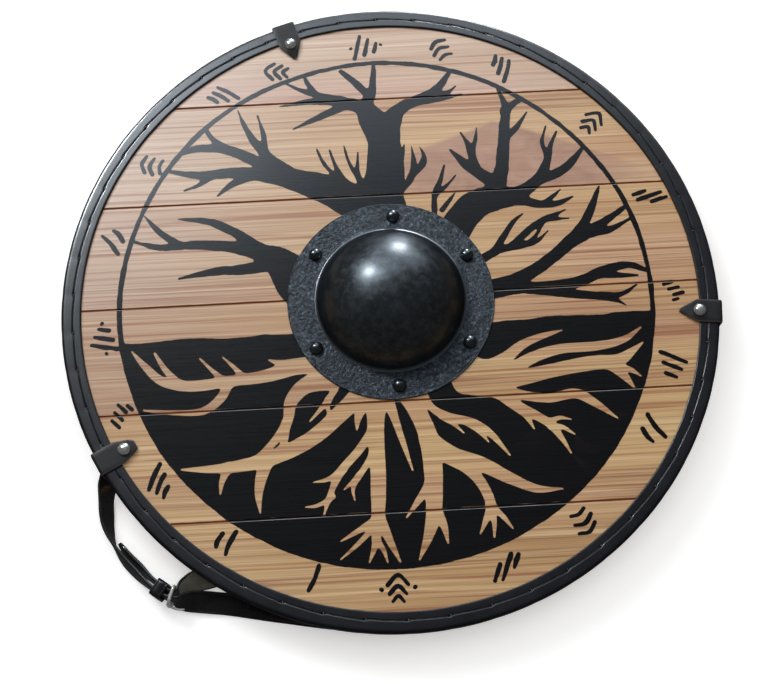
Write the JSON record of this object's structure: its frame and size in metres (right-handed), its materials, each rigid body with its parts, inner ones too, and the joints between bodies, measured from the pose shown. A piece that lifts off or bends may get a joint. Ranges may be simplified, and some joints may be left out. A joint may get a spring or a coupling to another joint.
{
  "type": "round wooden shield",
  "caption": "Round plank shield with a steel boss, stitched leather edge, painted tree above and roots below, a wooden grip bar and buckled leather carrying straps.",
  "frame": {"origin": "on the floor under the shield's centre, at the middle of the grip's flat underside", "axes": "+Z towards the shield's front, out of the boss; +X along the planks; +Y across the planks, towards the painted tree's crown"},
  "size_m": [0.612, 0.61, 0.0961],
  "materials": {
    "plank_wood": "varnished softwood, streaky grain, with black painted tree, ring and marks",
    "grip_wood": "plain oiled wood",
    "edge_leather": "black satin, smooth grain",
    "strap_leather": "black glossy, creased edges",
    "lacing": "waxed black thread",
    "black_steel": "black, glossy dome over a hammered flange",
    "bright_steel": "polished nickel"
  },
  "bodies": {
    "root": {"plank_1": "plank_wood", "plank_2": "plank_wood", "plank_3": "plank_wood", "plank_4": "plank_wood", "plank_5": "plank_wood", "plank_6": "plank_wood", "edge_leather": "edge_leather", "edge_lacing": "lacing", "boss": "black_steel", "boss_rivet_1": "black_steel", "boss_rivet_2": "black_steel", "boss_rivet_3": "black_steel", "boss_rivet_4": "black_steel", "boss_rivet_5": "black_steel", "boss_rivet_6": "black_steel", "grip": "grip_wood", "rim_clip_top": "strap_leather", "clip_rivet_top": "bright_steel", "rim_clip_right": "strap_leather", "clip_rivet_right": "bright_steel", "rim_clip_left": "strap_leather", "clip_rivet_left": "bright_steel", "carrying_strap": "strap_leather", "buckle_strap": "strap_leather", "keeper": "strap_leather", "buckle": "bright_steel"}
  },
  "joints": []
}
